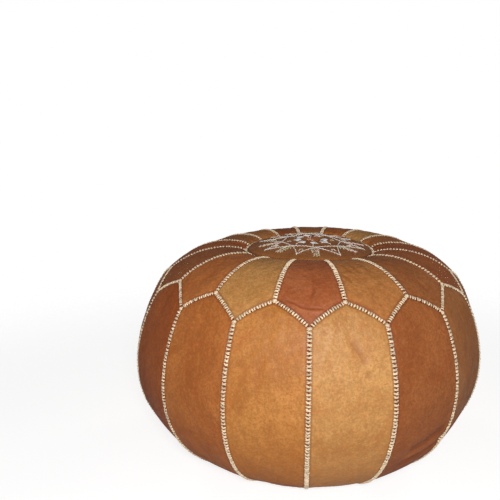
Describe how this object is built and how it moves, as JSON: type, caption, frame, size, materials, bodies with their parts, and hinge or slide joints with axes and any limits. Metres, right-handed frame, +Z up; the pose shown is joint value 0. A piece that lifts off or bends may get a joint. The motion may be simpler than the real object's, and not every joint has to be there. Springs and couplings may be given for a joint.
{
  "type": "leather pouf",
  "caption": "Round stuffed leather seat: petals around an embroidered medallion, tall side panels with stitched seams, and a zip across the base.",
  "frame": {"origin": "middle of the base at floor level", "axes": "+Z up, along the axis the petals and panels are arranged around; the first petal points along -Y and the zip runs along X"},
  "size_m": [0.5434, 0.5434, 0.322],
  "materials": {
    "leather_medallion": "satin",
    "leather_rust": "satin",
    "leather_tan": "satin",
    "leather_honey": "satin",
    "leather_base": "matt",
    "thread_cream": "waxed cord",
    "thread_white": "satin thread",
    "thread_grey": "satin thread",
    "cotton": "plain weave",
    "wadding": "matt",
    "zip_tape": "woven",
    "zip_brass": "polished"
  },
  "bodies": {
    "pouf": {"medallion": "leather_medallion", "petal_01": "leather_rust", "petal_02": "leather_tan", "petal_03": "leather_honey", "petal_04": "leather_tan", "petal_05": "leather_honey", "petal_06": "leather_tan", "petal_07": "leather_honey", "petal_08": "leather_tan", "petal_09": "leather_honey", "petal_10": "leather_tan", "petal_11": "leather_honey", "petal_12": "leather_tan", "petal_13": "leather_honey", "petal_14": "leather_tan", "petal_15": "leather_honey", "petal_16": "leather_tan", "side_panel_01": "leather_honey", "side_panel_02": "leather_tan", "side_panel_03": "leather_honey", "side_panel_04": "leather_tan", "side_panel_05": "leather_honey", "side_panel_06": "leather_tan", "side_panel_07": "leather_honey", "side_panel_08": "leather_tan", "side_panel_09": "leather_honey", "side_panel_10": "leather_tan", "side_panel_11": "leather_honey", "side_panel_12": "leather_tan", "side_panel_13": "leather_honey", "side_panel_14": "leather_tan", "side_panel_15": "leather_honey", "side_panel_16": "leather_tan", "base_half_back": "leather_base", "base_half_front": "leather_base", "medallion_stitching": "thread_cream", "petal_seam_stitching": "thread_cream", "petal_edge_stitching": "thread_cream", "side_seam_stitching": "thread_cream", "base_stitching": "thread_cream", "zip_stitching": "thread_cream", "embroidery_star": "thread_white", "embroidery_squares": "thread_grey", "embroidery_rosette": "thread_grey", "embroidery_sprigs": "thread_white", "liner_bag": "cotton", "filling": "wadding", "zip_tape_back": "zip_tape", "zip_tape_front": "zip_tape", "zip_teeth_back": "zip_brass", "zip_teeth_front": "zip_brass", "zip_stops": "zip_brass"},
    "zip_slider": {"zip_slider": "zip_brass"},
    "zip_pull": {"zip_pull": "zip_brass"}
  },
  "joints": [
    {"name": "zip_slide", "type": "slide", "parent": "pouf", "child": "zip_slider", "axis": [-1, 0, 0], "range_m": [0, 0.224]},
    {"name": "zip_pull_hinge", "type": "hinge", "parent": "zip_slider", "child": "zip_pull", "pos_m": [0.112, 0, 0.0032], "axis": [0, -1, 0], "range_deg": [0, 170]}
  ]
}
